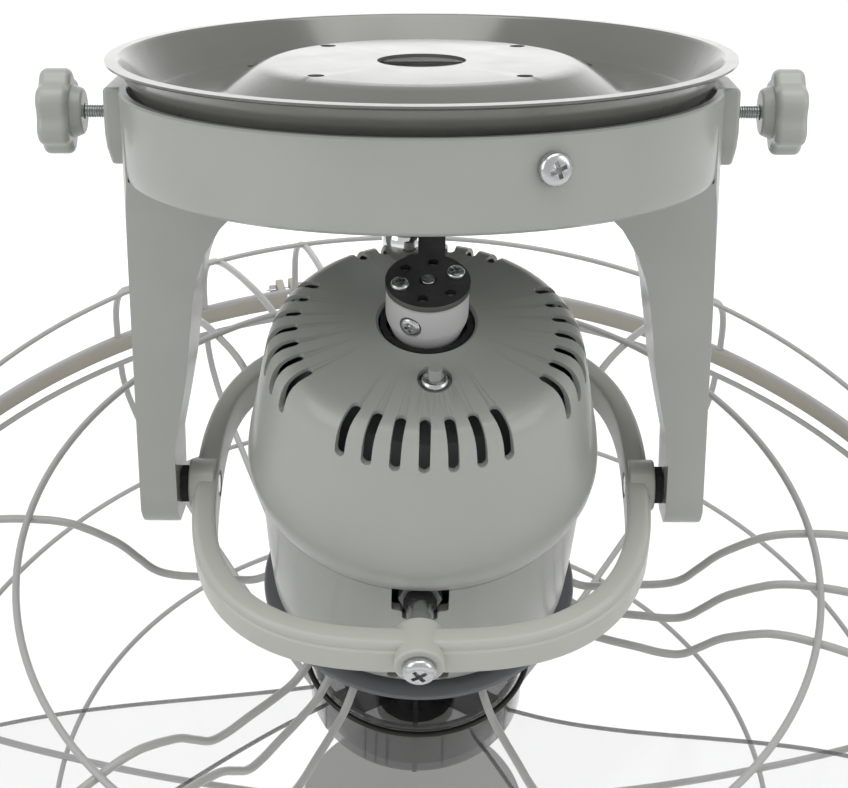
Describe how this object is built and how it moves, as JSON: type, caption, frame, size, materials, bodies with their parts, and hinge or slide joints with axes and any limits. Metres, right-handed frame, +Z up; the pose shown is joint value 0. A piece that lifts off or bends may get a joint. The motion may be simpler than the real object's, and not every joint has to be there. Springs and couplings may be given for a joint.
{
  "type": "orbital ceiling fan",
  "caption": "Ceiling fan head hung in a gimbal ring under a round ceiling dish, with a motor, guarded blades and a geared crank that walks the head round in an orbit.",
  "frame": {"origin": "centre of the ceiling dish's rim, in the plane of the ceiling", "axes": "+Z up to the ceiling, +X to the right of the side with the cover's window and ring screw, -Y to the front"},
  "size_m": [0.4481, 0.4152, 0.3443],
  "materials": {
    "grey_paint": "satin",
    "pale_paint": "satin",
    "dish_paint": "satin",
    "white_plastic": "satin",
    "dark_steel": "satin",
    "zinc_steel": "satin",
    "chrome": "polished",
    "rubber": "matte",
    "wire_paint": "satin",
    "band_plastic": "satin",
    "cast_grey": "cast",
    "copper": "enamelled wire",
    "laminations": "stacked sheets",
    "gear_plastic": "moulded",
    "brass": "machined",
    "smoky_plastic": "clear moulded"
  },
  "bodies": {
    "ceiling": {"ceiling_dish": "dish_paint", "hanger_yoke": "grey_paint", "orbit_bridge": "zinc_steel", "orbit_stem": "dark_steel", "ring_screw_front": "zinc_steel", "ring_screw_rear": "zinc_steel", "dish_bracket_right": "dish_paint", "dish_bracket_left": "dish_paint", "arm_pin_right": "zinc_steel", "arm_washer_right": "rubber", "arm_pin_left": "zinc_steel", "arm_washer_left": "rubber"},
    "thumb_right": {"thumb_screw_right": "zinc_steel", "thumb_knob_right": "grey_paint"},
    "thumb_left": {"thumb_screw_left": "zinc_steel", "thumb_knob_left": "grey_paint"},
    "gimbal": {"gimbal_ring": "pale_paint", "pivot_screw_front": "zinc_steel", "pivot_screw_rear": "zinc_steel"},
    "rotor": {"rotor_core": "laminations", "motor_shaft": "zinc_steel", "fan_blade": "smoky_plastic", "hub_hoop": "dark_steel", "spinner": "white_plastic"},
    "cross": {"cross_wheel": "gear_plastic", "cross_shaft": "brass"},
    "idler": {"idler_gear": "gear_plastic"},
    "crank": {"output_gear": "gear_plastic", "crank_boss": "white_plastic", "crank_arm": "dark_steel", "centre_pin": "zinc_steel", "crank_screw_front": "zinc_steel", "crank_screw_rear": "zinc_steel", "orbit_ball": "chrome", "crank_set_screw": "zinc_steel"},
    "head": {"upper_cover": "grey_paint", "crank_collar": "rubber", "lower_housing": "grey_paint", "motor_frame": "cast_grey", "pivot_bush_front": "rubber", "pivot_bush_rear": "rubber", "cover_screw_1": "zinc_steel", "cover_screw_2": "zinc_steel", "stator_core": "laminations", "winding_upper": "copper", "winding_lower": "copper", "bearing_upper": "brass", "bearing_cup": "zinc_steel", "bearing_lower": "brass", "gearbox_case": "cast_grey", "rear_guard": "wire_paint", "front_guard": "wire_paint", "guard_band": "band_plastic", "clamp_bolt": "zinc_steel", "clamp_nut": "zinc_steel"}
  },
  "joints": [
    {"name": "thumb_turn_right", "type": "hinge", "parent": "ceiling", "child": "thumb_right", "pos_m": [0.1, 0, -0.0175], "axis": [1, 0, 0], "range_deg": [-30, 720]},
    {"name": "thumb_turn_left", "type": "hinge", "parent": "ceiling", "child": "thumb_left", "pos_m": [-0.1, 0, -0.0175], "axis": [-1, 0, 0], "range_deg": [-30, 720]},
    {"name": "gimbal_tilt", "type": "hinge", "parent": "ceiling", "child": "gimbal", "pos_m": [0, 0, -0.1353], "axis": [1, 0, 0], "range_deg": [-47.6, 0]},
    {"name": "head_roll", "type": "hinge", "parent": "gimbal", "child": "head", "pos_m": [0, 0, -0.1353], "axis": [0, 0.915, 0.4035], "range_deg": [-25.3, 22.3]},
    {"name": "rotor_spin", "type": "hinge", "parent": "head", "child": "rotor", "pos_m": [0, 0, -0.1353], "axis": [0.0262, -0.4034, 0.9146], "continuous": true},
    {"name": "cross_spin", "type": "hinge", "parent": "head", "child": "cross", "pos_m": [0.00065, 0.00314, -0.1066], "axis": [0.9997, 0.0106, -0.024], "continuous": true},
    {"name": "idler_spin", "type": "hinge", "parent": "head", "child": "idler", "pos_m": [0.01699, 0.02479, -0.12485], "axis": [0.0262, -0.4034, 0.9146], "continuous": true},
    {"name": "crank_turn", "type": "hinge", "parent": "head", "child": "crank", "pos_m": [0, 0, -0.1353], "axis": [0.0262, -0.4034, 0.9146], "continuous": true}
  ],
  "couplings": [
    {"joint": "cross_spin", "follows": "rotor_spin", "ratio": 0.11111},
    {"joint": "idler_spin", "follows": "rotor_spin", "ratio": 0.037037},
    {"joint": "crank_turn", "follows": "rotor_spin", "ratio": -0.0069444}
  ]
}
